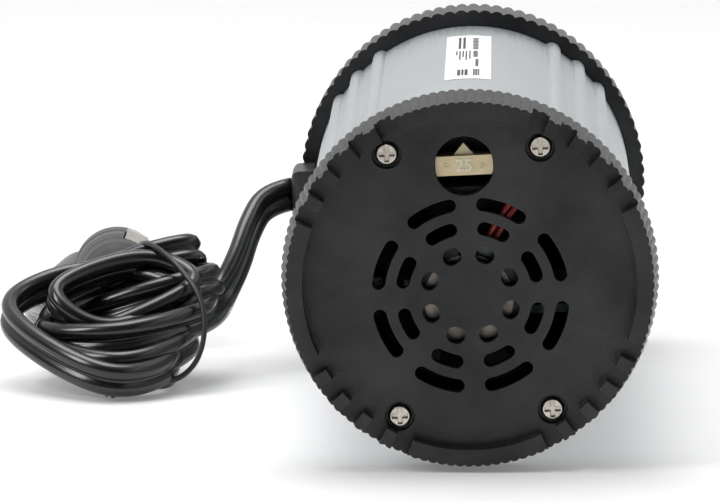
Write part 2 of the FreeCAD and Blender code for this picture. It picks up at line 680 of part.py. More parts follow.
def make_cord():
    section = size("cord_section")
    finish("cord_lead", feature(tube_along([Vector(*point) for point in LEAD], section)), BENCH)
    finish("cord_tail", feature(tube_along([Vector(*point) for point in TAIL], section)), BENCH)
    ball = doc.addObject("Part::Ellipsoid", "hank")
    ball.Radius2, ball.Radius3, ball.Radius1 = HANK_HALF
    ball.Angle1 = -90
    ball.Angle2 = 90
    ball.Placement = FreeCAD.Placement(Vector(*HANK_CENTRE), FreeCAD.Rotation())
    slab = doc.addObject("Part::Box", "slab")
    slab.Length, slab.Width, slab.Height = [3 * half for half in HANK_HALF]
    corner = Vector(HANK_CENTRE[0] - slab.Length.Value / 2, HANK_CENTRE[1] - slab.Width.Value / 2, FLOOR_GAP)
    slab.Placement = FreeCAD.Placement(corner, FreeCAD.Rotation())
    finish("cord_hank", common(ball, slab), BENCH)


def make_tie():
    """A thin wire tie about the gathered end of the hank."""
    shrink = math.sqrt(1 - (TIE_ACROSS / HANK_HALF[0]) ** 2)
    deep = HANK_HALF[1] * shrink + TIE_GAP
    high = HANK_HALF[2] * shrink + TIE_GAP
    loop = Part.Ellipse(Vector(0, 0, 0), deep, high).toShape()
    loop.rotate(Vector(0, 0, 0), Vector(1, 0, 0), 90)
    loop.rotate(Vector(0, 0, 0), Vector(0, 0, 1), 90)
    loop.translate(Vector(HANK_CENTRE[0] + TIE_ACROSS, HANK_CENTRE[1], HANK_CENTRE[2]))
    start = loop.Vertexes[0].Point
    section = Part.Wire(Part.makeCircle(TIE_WIRE, start, loop.tangentAt(loop.FirstParameter)))
    finish("cord_tie", feature(Part.Wire(loop).makePipeShell([section], True, False)), BENCH)


def plug_place():
    """The plug leans its nose on the back of the hank; its own z runs to the nose."""
    tail = Vector(*PLUG_TAIL) + bench_shift()
    turn = FreeCAD.Rotation(Vector(*PLUG_SIDE), Vector(0, 0, 0), Vector(*PLUG_ALONG), "ZXY")
    return FreeCAD.Placement(tail, turn)


PLUG = plug_place()


def make_plug():
    """A 12 V plug: hollow two-stage body, screw cap with the centre pin, side contacts and fuse."""
    top = "grip_long + barrel_long"
    shell = revolved([("2.6", "0"), ("grip_radius - 2.2", "0"), ("grip_radius", "6"),
                      ("grip_radius", "grip_long - 1"), ("barrel_radius", "grip_long"),
                      ("barrel_radius", top + " - 11"),
                      ("barrel_radius - 0.7", top + " - 6.4"), ("6.4", top + " - 6.4"), ("6.4", "8"),
                      ("2.6", "8")])
    slots = [contact_slot(hand) for hand in (-1, 1)]
    finish("plug_body", cut(shell, slots), PLUG)
    ring = revolved([("3.6", top + " + 2"), ("5", top + " + 2"), ("6.4", top + " + 1"), ("7.5", top + " - 2"),
                     ("barrel_radius - 0.75", top + " - 6.3"), ("5.2", top + " - 6.3"),
                     ("5.2", top + " - 1.9"), ("3.6", top + " - 1.9")])
    finish("plug_nose_ring", ring, PLUG)
    tip = revolved([("0", top + " - 5.6"), ("4.6", top + " - 5.6"), ("4.6", top + " - 3.4"),
                    ("3.5", top + " - 3.4"), ("3.5", top + " + 2.6"), ("2.0", top + " + 4.4"),
                    ("0", top + " + 4.8")])
    finish("plug_tip", tip, PLUG)
    spring = cut(cylinder("4.2", "5.4", (0, 0, top + " - 11.2")),
                 [cylinder("3.4", "7", (0, 0, top + " - 12"))])
    finish("plug_tip_spring", spring, PLUG)
    glass = cylinder("2.9", "20", (0, 0, top + " - 36"))
    caps = [cylinder("3.15", "5", (0, 0, top + " - 36.6")), cylinder("3.15", "5", (0, 0, top + " - 20.6"))]
    finish("plug_fuse", joined([glass] + caps), PLUG)
    for side, hand in (("left", -1), ("right", 1)):
        outline = [("7.9", "grip_long + 3.5"), ("9.0", "grip_long + 4.5"), ("9.9", "grip_long + 10"),
                   ("9.7", "grip_long + 14"), ("7.9", top + " - 7.6"), ("7.3", top + " - 7.9"),
                   ("9.1", "grip_long + 13.6"), ("9.3", "grip_long + 10"), ("8.5", "grip_long + 5"),
                   ("7.4", "grip_long + 4")]
        leaf = doc.addObject("PartDesign::Body", "leaf")
        pad = leaf.newObject("PartDesign::Pad", "pad")
        pad.Profile = profile_sketch(leaf, "XZ_Plane", [("%d * (%s)" % (hand, x), z) for x, z in outline])
        pad.setExpression("Length", "4.6")
        pad.Midplane = True
        leaf.Tip = pad
        finish("plug_contact_" + side, leaf, PLUG)
    boot = revolved([("0", "-boot_long"), ("3.4", "-boot_long"), ("5.4", "-0.6"), ("5.4", "-0.05"),
                     ("2.4", "-0.05"), ("2.4", "4"), ("0", "4")])
    finish("plug_boot", boot, PLUG)
    screw_at = ("0", "grip_radius - 1.4", "grip_long / 2")
    finish("plug_screw", cylinder("1.6", "1.2", screw_at, (0, 1, 0)), PLUG)


def contact_slot(hand):
    """The opening in the barrel for one side contact."""
    return box("4.9", "5.2", "19.6", ("%d * barrel_radius" % hand, 0), "grip_long + 3")


make_body_tube()
make_base_cap()
make_outlet_cap()
make_screws("base_screws", "recess_depth + 1.6", 1)
make_screws("outlet_screws", "can_length - 1.8", -1)
make_rating_label()
make_fan_frame()
make_fan_core()
make_fan_rotor()
make_fuse()
make_fuse_holder()
make_socket()
make_usb()
make_switch()
make_board()
make_wiring()
make_gland()
make_cord()
make_tie()
make_plug()
doc.recompute()

for item in doc.Objects:
    if "Invalid" in item.State or "Error" in item.State:
        raise SystemExit("%s (%s) failed: %s" % (item.Name, item.Label, item.State))
os.makedirs("parts", exist_ok=True)
for item in finished:
    if item.Shape.isNull() or not item.Shape.isValid() or not item.Shape.Solids:
        raise SystemExit("%s has a bad shape" % item.Label)
for item in finished:
    item.Shape.exportStep("parts/%s.step" % item.Label)
print("%d sub-parts" % len(finished))
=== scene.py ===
"""Workbench scene for a round mains inverter: cord, print, small pieces, finishes, floor and light."""
import json
import math

import bmesh
import bpy
from bpy.props import FloatProperty, FloatVectorProperty, IntProperty, PointerProperty
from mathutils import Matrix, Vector


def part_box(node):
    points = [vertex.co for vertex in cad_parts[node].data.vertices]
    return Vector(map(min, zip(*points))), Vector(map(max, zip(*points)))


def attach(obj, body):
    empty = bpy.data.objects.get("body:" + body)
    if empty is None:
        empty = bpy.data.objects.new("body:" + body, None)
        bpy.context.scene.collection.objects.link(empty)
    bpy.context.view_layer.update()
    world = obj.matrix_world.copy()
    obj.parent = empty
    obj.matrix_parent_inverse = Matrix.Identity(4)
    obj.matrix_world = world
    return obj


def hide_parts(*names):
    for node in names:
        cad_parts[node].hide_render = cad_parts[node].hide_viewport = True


bl_info = {
    "name": "Round inverter",
    "version": (1, 0, 0),
    "blender": (4, 5, 0),
    "location": "View3D > Sidebar > Inverter",
    "description": "Cord, label print, fuse marks, finishes and studio for a round mains inverter",
    "category": "Object",
}

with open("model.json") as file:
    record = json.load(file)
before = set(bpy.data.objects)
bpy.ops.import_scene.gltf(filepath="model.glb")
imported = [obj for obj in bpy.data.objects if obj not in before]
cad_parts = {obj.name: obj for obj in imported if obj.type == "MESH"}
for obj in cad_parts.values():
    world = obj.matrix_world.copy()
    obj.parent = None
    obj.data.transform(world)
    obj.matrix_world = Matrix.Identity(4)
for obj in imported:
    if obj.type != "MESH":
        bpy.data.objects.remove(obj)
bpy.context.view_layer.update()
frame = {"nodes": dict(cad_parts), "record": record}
NODES = frame["nodes"]
MM = 0.001


def seen(red, green, blue):
    """A screen colour, 0 to 255, as the linear colour that a shader takes."""
    def linear(value):
        share = value / 255
        return share / 12.92 if share <= 0.04045 else ((share + 0.055) / 1.055) ** 2.4
    return (linear(red), linear(green), linear(blue), 1.0)


# ---------------------------------------------------------------- settings

class FlexSettings(bpy.types.PropertyGroup):
    """The flat twin flex and its hank."""
    width: FloatProperty(name="Flex width", description="Across both cores", default=0.0070, unit="LENGTH")
    thick: FloatProperty(name="Flex thickness", description="Across one core", default=0.0035, unit="LENGTH")
    points_per_turn: IntProperty(name="Points per turn", description="Route points in one turn of the hank",
                                 default=12, min=12, max=24)
    tie_radius: FloatProperty(name="Tie radius", description="Half the tie wire's thickness", default=0.00055,
                              unit="LENGTH")
    colour: FloatVectorProperty(name="Flex colour", description="Colour of the sheath", subtype="COLOR",
                                size=4, default=seen(7, 7, 8), min=0, max=1)


class FinishSettings(bpy.types.PropertyGroup):
    """Colours of the large pieces."""
    silver: FloatVectorProperty(name="Tube", description="Colour of the satin tube", subtype="COLOR", size=4,
                                default=seen(192, 197, 199), min=0, max=1)
    cap: FloatVectorProperty(name="End caps", description="Colour of both end caps", subtype="COLOR", size=4,
                             default=seen(13, 14, 18), min=0, max=1)
    amber: FloatVectorProperty(name="Fuse", description="Colour of the blade fuse's body",
                               subtype="COLOR", size=4, default=seen(232, 214, 170), min=0, max=1)
    ink: FloatVectorProperty(name="Ink", description="Colour of the label's print", subtype="COLOR", size=4,
                             default=seen(48, 48, 50), min=0, max=1)


class StageSettings(bpy.types.PropertyGroup):
    """Floor, light and camera."""
    floor_reach: FloatProperty(name="Floor", description="Length of the floor's sides", default=9.0,
                               unit="LENGTH")
    sky: FloatProperty(name="Sky", description="Strength of the white room", default=0.78, min=0)
    camera_lens: FloatProperty(name="Lens", description="Focal length", default=332.0, unit="CAMERA")
    camera_down: FloatProperty(name="Look down", description="Angle below level", default=math.radians(8.70),
                               unit="ROTATION")
    camera_turn: FloatProperty(name="Turn", description="Turn from straight ahead",
                               default=math.radians(1.20), unit="ROTATION")
    camera_place: FloatVectorProperty(name="Place", description="Where the camera stands",
                                      subtype="TRANSLATION", default=(0.00516, -1.30126, 0.22924))


# ---------------------------------------------------------------- making and placing

def start_fresh():
    """Leave edit mode and select nothing, so that the next operator acts on new work only."""
    if bpy.context.mode != "OBJECT":
        bpy.ops.object.mode_set(mode="OBJECT")
    bpy.ops.object.select_all(action="DESELECT")


def settle(name, material, body=None):
    """Name the active object, put its place into its mesh, give it its finish and its body."""
    piece = bpy.context.object
    bpy.ops.object.transform_apply(location=True, rotation=True, scale=True)
    piece.name = name
    piece.data.name = name
    piece.data.materials.clear()
    piece.data.materials.append(material)
    if body:
        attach(piece, body)
    return piece


def pick(piece, wanted):
    """In edit mode, select just the faces that the test wants."""
    bpy.ops.mesh.select_all(action="DESELECT")
    mesh = bmesh.from_edit_mesh(piece.data)
    for face in mesh.faces:
        if wanted(face):
            face.select = True
    mesh.select_flush(True)
    bmesh.update_edit_mesh(piece.data)


def join_all(pieces):
    """Make one object of several, which is then the active one."""
    start_fresh()
    for piece in pieces:
        piece.select_set(True)
    bpy.context.view_layer.objects.active = pieces[0]
    bpy.ops.object.join()


# ---------------------------------------------------------------- finishes

def add(tree, kind, at, **values):
    node = tree.nodes.new(kind)
    node.location = at
    for name, value in values.items():
        if name in node.inputs:
            node.inputs[name].default_value = value
        else:
            setattr(node, name, value)
    return node


def mixed(colour, towards, share):
    return tuple(a + (b - a) * share for a, b in zip(colour[:3], towards[:3])) + (1.0,)


def finish(name, colour, rough=(0.35, 0.45), grain=900.0, bump=0.05, shade=0.25, edge=0.0, stretch=(1, 1, 1),
           cloud=70.0, **sockets):
    """A principled finish with fine grain, slow clouds of shade and gloss, and softened edges.

    Words in sockets are constants on the shader itself, with underscores for spaces."""
    material = bpy.data.materials.new(name)
    material.use_nodes = True
    tree = material.node_tree
    tree.nodes.clear()
    out = add(tree, "ShaderNodeOutputMaterial", (900, 0))
    shader = add(tree, "ShaderNodeBsdfPrincipled", (600, 0))
    for word, value in sockets.items():
        shader.inputs[word.replace("_", " ")].default_value = value
    place = add(tree, "ShaderNodeTexCoord", (-900, 0))
    turn = add(tree, "ShaderNodeMapping", (-720, 0), Scale=stretch)
    fine = add(tree, "ShaderNodeTexNoise", (-500, -200), Scale=grain, Detail=3.0, Roughness=0.6)
    slow = add(tree, "ShaderNodeTexNoise", (-500, 200), Scale=cloud, Detail=4.0, Roughness=0.55)
    tree.links.new(place.outputs["Object"], turn.inputs["Vector"])
    tree.links.new(turn.outputs["Vector"], fine.inputs["Vector"])
    tree.links.new(place.outputs["Object"], slow.inputs["Vector"])
    tint = add(tree, "ShaderNodeValToRGB", (-200, 250))
    tint.color_ramp.elements[0].position = 0.32
    tint.color_ramp.elements[0].color = mixed(colour, (0, 0, 0), shade)
    tint.color_ramp.elements[1].position = 0.68
    tint.color_ramp.elements[1].color = mixed(colour, (1, 1, 1), shade * 0.12)
    tree.links.new(slow.outputs["Fac"], tint.inputs["Fac"])
    tree.links.new(tint.outputs["Color"], shader.inputs["Base Color"])
    gloss = add(tree, "ShaderNodeMapRange", (-200, 0))
    gloss.inputs["To Min"].default_value, gloss.inputs["To Max"].default_value = rough
    gloss.inputs["From Min"].default_value, gloss.inputs["From Max"].default_value = 0.3, 0.7
    tree.links.new(fine.outputs["Fac"], gloss.inputs["Value"])
    tree.links.new(gloss.outputs["Result"], shader.inputs["Roughness"])
    relief = add(tree, "ShaderNodeBump", (300, -300), Strength=bump, Distance=0.0002)
    tree.links.new(fine.outputs["Fac"], relief.inputs["Height"])
    if edge:
        soft = add(tree, "ShaderNodeBevel", (50, -450), samples=6, Radius=edge)
        tree.links.new(soft.outputs["Normal"], relief.inputs["Normal"])
    tree.links.new(relief.outputs["Normal"], shader.inputs["Normal"])
    tree.links.new(shader.outputs["BSDF"], out.inputs["Surface"])
    return material


def metal(name, colour, rough=(0.22, 0.34), **more):
    return finish(name, colour, rough=rough, Metallic=1.0, **more)


def all_finishes(settings):
    """One finish for each of the record's slots."""
    return {
        "body_silver": finish("satin_tube", settings.silver, rough=(0.34, 0.44), grain=260,
                              stretch=(9, 0.25, 9), bump=0.05, shade=0.07, cloud=24, edge=0.0003,
                              Metallic=0.82),
        "cap_black": finish("cap_spark", settings.cap, rough=(0.28, 0.46), grain=2600, bump=0.22, shade=0.2,
                            edge=0.00022, Specular_IOR_Level=0.45),
        "screw_steel": metal("bright_nickel", seen(206, 198, 186), rough=(0.14, 0.28), edge=0.0002,
                             grain=1400, bump=0.08, shade=0.3, cloud=420),
        "label_white": finish("label_film", seen(247, 247, 247), rough=(0.38, 0.46), grain=700, shade=0.02,
                              bump=0.02),
        "fan_black": finish("fan_plastic", seen(26, 26, 28), rough=(0.35, 0.5), shade=0.2, bump=0.08),
        "bronze": metal("sintered_bronze", seen(176, 132, 88), rough=(0.35, 0.5)),
        "copper": metal("enamelled_wire", seen(190, 106, 58), rough=(0.18, 0.3), grain=2200,
                        stretch=(1, 8, 1), bump=0.3),
        "board_green": finish("solder_mask", seen(30, 140, 70), rough=(0.22, 0.34), grain=1500, bump=0.1,
                              shade=0.45, cloud=600, Coat_Weight=0.3),
        "foil": metal("brushed_foil", seen(118, 110, 102), rough=(0.24, 0.4), grain=1200, shade=0.5,
                      cloud=300),
        "magnet": finish("magnet_ring", seen(58, 56, 54), rough=(0.45, 0.6), Metallic=0.4),
        "steel": metal("spring_steel", seen(196, 196, 198), grain=1100, bump=0.06, shade=0.2),
        "fuse_tan": finish("amber_plastic", settings.amber, rough=(0.2, 0.3), grain=700, bump=0.05,
                           shade=0.16, cloud=240, edge=0.00015, Subsurface_Weight=0.35,
                           Subsurface_Scale=0.0012, Subsurface_Radius=(1.0, 0.6, 0.3), Coat_Weight=0.25),
        "fuse_zinc": metal("fuse_zinc", seen(188, 184, 178), rough=(0.3, 0.45)),
        "holder_dark": finish("holder_plastic", seen(44, 32, 26), rough=(0.4, 0.55), shade=0.3, bump=0.08),
        "contact_brass": metal("plated_brass", seen(218, 206, 176), rough=(0.2, 0.3), shade=0.15,
                               edge=0.00015),
        "socket_black": finish("socket_plastic", seen(28, 28, 30), rough=(0.28, 0.4), shade=0.2,
                               edge=0.0003, bump=0.06),
        "usb_white": finish("usb_insulator", seen(224, 224, 220), rough=(0.35, 0.45), shade=0.04),
        "led_green": finish("lamp_lens", seen(78, 178, 96), rough=(0.08, 0.14), shade=0.1, bump=0.02,
                            Transmission_Weight=0.5, Coat_Weight=0.4),
        "ferrite": finish("ferrite", seen(62, 60, 60), rough=(0.5, 0.65), shade=0.25),
        "tape_yellow": finish("winding_tape", seen(214, 176, 64), rough=(0.3, 0.4), grain=500,
                              stretch=(1, 12, 1), bump=0.12, shade=0.12),
        "can_sleeve": finish("shrink_sleeve", seen(34, 44, 66), rough=(0.22, 0.32), shade=0.2,
                             Coat_Weight=0.2),
        "film_box": finish("film_case", seen(196, 150, 60), rough=(0.35, 0.45), shade=0.12),
        "chip_black": finish("moulded_epoxy", seen(30, 30, 31), rough=(0.5, 0.65), shade=0.2, bump=0.15),
        "pad_grey": finish("thermal_pad", seen(140, 142, 146), rough=(0.6, 0.75), shade=0.12),
        "plate_alu": metal("rolled_plate", seen(196, 198, 200), rough=(0.32, 0.46), stretch=(1, 10, 1)),
        "wire_red": finish("red_lead", seen(168, 34, 26), rough=(0.25, 0.35), shade=0.2, bump=0.05),
        "wire_dark": finish("dark_lead", seen(40, 36, 34), rough=(0.25, 0.35), shade=0.2, bump=0.05),
        "cord_black": finish("flex_moulding", seen(18, 18, 20), rough=(0.3, 0.42), shade=0.2, edge=0.0003,
                             bump=0.08),
        "plug_black": finish("plug_moulding", seen(44, 44, 46), rough=(0.4, 0.52), shade=0.18, bump=0.14,
                             grain=1600, edge=0.0003),
        "glass_clear": finish("fuse_glass", seen(236, 240, 240), rough=(0.02, 0.05), shade=0.02, bump=0.0,
                              Transmission_Weight=0.9, IOR=1.5),
    }


def flex_sheath(colour):
    """Glossy sheath: long soft streaks that follow the flex, and fine dust across it."""
    material = bpy.data.materials.new("flex_sheath")
    material.use_nodes = True
    tree = material.node_tree
    tree.nodes.clear()
    out = add(tree, "ShaderNodeOutputMaterial", (900, 0))
    shader = add(tree, "ShaderNodeBsdfPrincipled", (600, 0))
    shader.inputs["Specular IOR Level"].default_value = 0.5
    shader.inputs["Coat Weight"].default_value = 0.25
    shader.inputs["Coat Roughness"].default_value = 0.18
    along = add(tree, "ShaderNodeUVMap", (-900, 0), uv_map="flex")
    stretch = add(tree, "ShaderNodeMapping", (-720, 0), Scale=(60.0, 9.0, 1.0))
    streak = add(tree, "ShaderNodeTexNoise", (-500, 150), Scale=1.0, Detail=4.0, Roughness=0.6)
    place = add(tree, "ShaderNodeTexCoord", (-900, -300))
    dust = add(tree, "ShaderNodeTexNoise", (-500, -250), Scale=900.0, Detail=2.0)
    tree.links.new(along.outputs["UV"], stretch.inputs["Vector"])
    tree.links.new(stretch.outputs["Vector"], streak.inputs["Vector"])
    tree.links.new(place.outputs["Object"], dust.inputs["Vector"])
    tint = add(tree, "ShaderNodeValToRGB", (-200, 250))
    tint.color_ramp.elements[0].position = 0.3
    tint.color_ramp.elements[0].color = mixed(colour, (0, 0, 0), 0.35)
    tint.color_ramp.elements[1].position = 0.75
    tint.color_ramp.elements[1].color = mixed(colour, (1, 1, 1), 0.02)
    tree.links.new(streak.outputs["Fac"], tint.inputs["Fac"])
    tree.links.new(tint.outputs["Color"], shader.inputs["Base Color"])
    gloss = add(tree, "ShaderNodeMapRange", (-200, 0))
    gloss.inputs["To Min"].default_value = 0.16
    gloss.inputs["To Max"].default_value = 0.34
    tree.links.new(streak.outputs["Fac"], gloss.inputs["Value"])
    tree.links.new(gloss.outputs["Result"], shader.inputs["Roughness"])
    relief = add(tree, "ShaderNodeBump", (300, -300), Strength=0.06, Distance=0.0002)
    tree.links.new(dust.outputs["Fac"], relief.inputs["Height"])
    tree.links.new(relief.outputs["Normal"], shader.inputs["Normal"])
    tree.links.new(shader.outputs["BSDF"], out.inputs["Surface"])
    return material


class INVERTER_OT_finishes(bpy.types.Operator):
    """Give every node of the frame the finish of its slot"""
    bl_idname = "inverter.finishes"
    bl_label = "Finishes"

    def execute(self, context):
        made = all_finishes(context.scene.inverter_finish)
        for row in frame["record"]["subparts"]:
            for slot in NODES[row["node"]].material_slots:
                slot.material = made[row["material_slot"]]
        return {"FINISHED"}


# ---------------------------------------------------------------- the flex

# From the gland to the hank, and from the hank round behind it to the plug.
LEAD = [(-0.03705, 0.0519, 0.0340), (-0.0426, 0.0497, 0.0332), (-0.0456, 0.0423, 0.0284),
        (-0.0476, 0.0361, 0.0220), (-0.0512, 0.0311, 0.0154)]
TAIL = [(-0.0790, 0.0431, 0.0098), (-0.0826, 0.0525, 0.0076), (-0.0880, 0.0645, 0.0056),
        (-0.0928, 0.0805, 0.0043), (-0.0940, 0.0975, 0.0038), (-0.0922, 0.1130, 0.0038),
        (-0.0902, 0.1285, 0.0038), (-0.0888, 0.1415, 0.0038), (-0.0872, 0.1487, 0.0038),
        (-0.0826, 0.1507, 0.0038), (-0.0786, 0.1471, 0.0040), (-0.0774, 0.1405, 0.0047),
        (-0.0776, 0.1321, 0.0061), (-0.0774, 0.1238, 0.00765)]
# Turns of the hank: middle, half of its depth towards the front, half of its length to the left.
TURNS = [
    ((-0.0695, 0.0175, 0.0125), (0.0010, -0.0115, -0.0010), (-0.0170, -0.0025, -0.0020)),
    ((-0.0710, 0.0165, 0.0090), (0.0020, -0.0150, -0.0030), (-0.0150, -0.0005, -0.0010)),
    ((-0.0775, 0.0165, 0.0102), (0.0050, -0.0195, -0.0060), (-0.0180, 0.0030, 0.0030)),
    ((-0.0705, 0.0200, 0.0185), (-0.0030, -0.0070, -0.0070), (-0.0135, -0.0030, 0.0010)),
    ((-0.0705, 0.0215, 0.0150), (-0.0065, -0.0080, -0.0055), (-0.0150, 0.0010, -0.0035)),
    ((-0.0715, 0.0350, 0.0190), (0.0015, -0.0045, 0.0035), (-0.0155, 0.0010, -0.0060)),
    ((-0.0680, 0.0285, 0.0150), (0.0020, -0.0080, 0.0020), (-0.0165, 0.0010, -0.0050)),
    ((-0.0720, 0.0300, 0.0110), (0.0010, -0.0095, -0.0010), (-0.0140, 0.0020, -0.0010)),
]
# Power that straightens runs and tightens folds.
FOLD = 1.3
# Half of the flex's thickness at its groove, as a share of a core's radius.
GROOVE_SHARE = 0.34


def pulled(value):
    """Draw a circle's sine or cosine in towards a diamond, so that runs straighten and folds tighten."""
    return math.copysign(abs(value) ** FOLD, value)


def hank_route(count):
    """Turns that ease into one another; gives the points and the flex's wide side at each."""
    points = []
    sides = []
    for step in range(int(count * (len(TURNS) - 0.5))):
        turn, part = divmod(step / count, 1.0)
        before = TURNS[int(turn)]
        after = TURNS[min(int(turn) + 1, len(TURNS) - 1)]
        middle, front, left = (Vector(a).lerp(Vector(b), part ** 3) for a, b in zip(before, after))
        angle = math.tau * part
        points.append(middle - left * pulled(math.cos(angle)) + front * pulled(math.sin(angle)))
        side = left.cross(front).normalized()
        sides.append(side if side.z > 0 else -side)
    return points, sides


def smooth_line(points, name):
    """The smooth line of a route as a list of points, read from its unbevelled curve."""
    data = bpy.data.curves.new(name, "CURVE")
    data.dimensions = "3D"
    spline = data.splines.new("NURBS")
    spline.points.add(len(points) - 1)
    for spot, point in zip(spline.points, points):
        spot.co = (*point, 1.0)
    spline.order_u = 3
    spline.use_endpoint_u = True
    spline.resolution_u = 6
    curve = bpy.data.objects.new(name, data)
    bpy.context.collection.objects.link(curve)
    bpy.context.view_layer.update()
    mesh = bpy.data.meshes.new_from_object(curve)
    line = [vertex.co.copy() for vertex in mesh.vertices]
    bpy.data.objects.remove(curve)
    bpy.data.curves.remove(data)
    bpy.data.meshes.remove(mesh)
    return line


def twin_section(width, thick):
    """Two round cores side by side, with a groove between them."""
    radius = thick / 2
    offset = (width - thick) / 2
    right = [math.radians(angle) for angle in range(-140, 141, 28)]
    lobe = [(offset + radius * math.cos(angle), radius * math.sin(angle)) for angle in right]
    groove = radius * GROOVE_SHARE
    return lobe + [(0.0, groove)] + [(-x, -y) for x, y in lobe] + [(0.0, -groove)]


def flex_mesh(name, line, sides, section):
    """A flat twin flex along a line; sides lists the wide direction at even steps of the route."""
    mesh = bmesh.new()
    chart = mesh.loops.layers.uv.new("flex")
    rings = []
    travelled = [0.0]
    for before, after in zip(line, line[1:]):
        travelled.append(travelled[-1] + (after - before).length)
    last = len(line) - 1
    for index, point in enumerate(line):
        ahead = (line[min(index + 1, last)] - line[max(index - 1, 0)]).normalized()
        share = index / last * (len(sides) - 1)
        low = min(int(share), len(sides) - 2)
        wide = sides[low].lerp(sides[low + 1], share - low)
        wide = (wide - ahead * wide.dot(ahead)).normalized()
        thin = ahead.cross(wide)
        rings.append([mesh.verts.new(point + wide * x + thin * y) for x, y in section])
    around = len(section)
    for index, (ring, following) in enumerate(zip(rings, rings[1:])):
        for corner in range(around):
            further = (corner + 1) % around
            face = mesh.faces.new((ring[corner], following[corner], following[further], ring[further]))
            face.smooth = True
            for loop, (step, turn) in zip(face.loops, ((0, 0), (1, 0), (1, 1), (0, 1))):
                loop[chart].uv = (travelled[index + step], (corner + turn) / around)
    mesh.faces.new(list(reversed(rings[0])))
    mesh.faces.new(rings[-1])
    bmesh.ops.recalc_face_normals(mesh, faces=mesh.faces)
    data = bpy.data.meshes.new(name)
    mesh.to_mesh(data)
    mesh.free()
    piece = bpy.data.objects.new(name, data)
    bpy.context.collection.objects.link(piece)
    return piece


class INVERTER_OT_flex(bpy.types.Operator):
    """Flat twin flex from the gland, wound into its loose hank and out to the plug"""
    bl_idname = "inverter.flex"
    bl_label = "Flex"

    def execute(self, context):
        settings = context.scene.inverter_flex
        turns, turn_sides = hank_route(settings.points_per_turn)
        upright = Vector((0, 0, 1))
        lead_sides = [upright, Vector((-0.2, -0.3, 1)), Vector((-0.45, -0.85, 0.75)),
                      Vector((-0.6, -0.75, 0.6)), Vector((-0.6, -0.2, 0.8))]
        route = [Vector(point) for point in LEAD] + turns + [Vector(point) for point in TAIL]
        sides = lead_sides + turn_sides + [upright] * len(TAIL)
        line = smooth_line(route, "flex_route")
        section = twin_section(settings.width, settings.thick)
        flex = flex_mesh("flex", line, sides, section)
        flex.data.materials.append(flex_sheath(settings.colour))
        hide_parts("cord_lead", "cord_tail", "cord_hank")
        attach(flex, "can")
        return {"FINISHED"}


# The tie starts and ends in its two twisted tails on the floor.
TIE = [(-0.0715, -0.0015, 0.0010), (-0.0690, 0.0002, 0.0018), (-0.0672, 0.0050, 0.0016),
       (-0.0640, 0.0046, 0.0030), (-0.0590, 0.0072, 0.0024), (-0.0548, 0.0086, 0.0060),
       (-0.0532, 0.0100, 0.0120), (-0.0540, 0.0130, 0.0185), (-0.0590, 0.0190, 0.0240),
       (-0.0640, 0.0260, 0.0270), (-0.0675, 0.0330, 0.0268), (-0.0690, 0.0430, 0.0220),
       (-0.0660, 0.0450, 0.0120), (-0.0620, 0.0380, 0.0030), (-0.0600, 0.0250, 0.0010),
       (-0.0600, 0.0120, 0.0010), (-0.0630, 0.0058, 0.0014), (-0.0668, 0.0036, 0.0030),
       (-0.0690, 0.0020, 0.0014), (-0.0728, 0.0004, 0.0010)]


class INVERTER_OT_tie(bpy.types.Operator):
    """Thin covered wire round the hank, its ends twisted together"""
    bl_idname = "inverter.tie"
    bl_label = "Tie"

    def execute(self, context):
        start_fresh()
        data = bpy.data.curves.new("flex_tie", "CURVE")
        data.dimensions = "3D"
        spline = data.splines.new("NURBS")
        spline.points.add(len(TIE) - 1)
        for spot, point in zip(spline.points, TIE):
            spot.co = (*point, 1.0)
        spline.order_u = 3
        spline.use_endpoint_u = True
        data.resolution_u = 6
        data.bevel_depth = context.scene.inverter_flex.tie_radius
        data.bevel_resolution = 3
        data.use_fill_caps = True
        curve = bpy.data.objects.new("flex_tie", data)
        bpy.context.collection.objects.link(curve)
        curve.select_set(True)
        context.view_layer.objects.active = curve
        bpy.ops.object.convert(target="MESH")
        bpy.ops.object.shade_smooth()
        tie = settle("flex_tie", NODES["cable_gland"].material_slots[0].material, "can")
        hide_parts("cord_tie")
        return {"FINISHED"}


# ---------------------------------------------------------------- label print and fuse marks

LABEL_LOW, LABEL_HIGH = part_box("rating_label")
# Radius of the label's face about the can's middle line, gap under the ink, finest pitch of the blocks.
LABEL_CURVE = 0.0324
INK_LIFT = 0.00005
FINEST_PITCH = 0.0011
# Lines of print: share across the label from the left, share along it from the far end, share of its length,
# height of the blocks in millimetres and their share of the pitch.
PRINT_LINES = [(0.655, 0.06, 0.28, 1.1, 0.6), (0.655, 0.37, 0.15, 0.9, 0.65), (0.69, 0.56, 0.18, 0.6, 0.6),
               (0.63, 0.79, 0.14, 0.35, 0.6), (0.68, 0.79, 0.14, 0.35, 0.7), (0.73, 0.79, 0.14, 0.35, 0.5),
               (0.40, 0.05, 0.27, 0.5, 0.8), (0.30, 0.05, 0.27, 0.5, 0.8), (0.53, 0.37, 0.19, 0.3, 0.6),
               (0.45, 0.37, 0.22, 0.3, 0.6), (0.38, 0.37, 0.15, 0.3, 0.6), (0.31, 0.37, 0.20, 0.3, 0.6),
               (0.24, 0.37, 0.10, 0.3, 0.6), (0.30, 0.80, 0.13, 0.6, 0.8), (0.38, 0.80, 0.12, 0.45, 0.6),
               (0.46, 0.80, 0.13, 0.6, 0.7)]


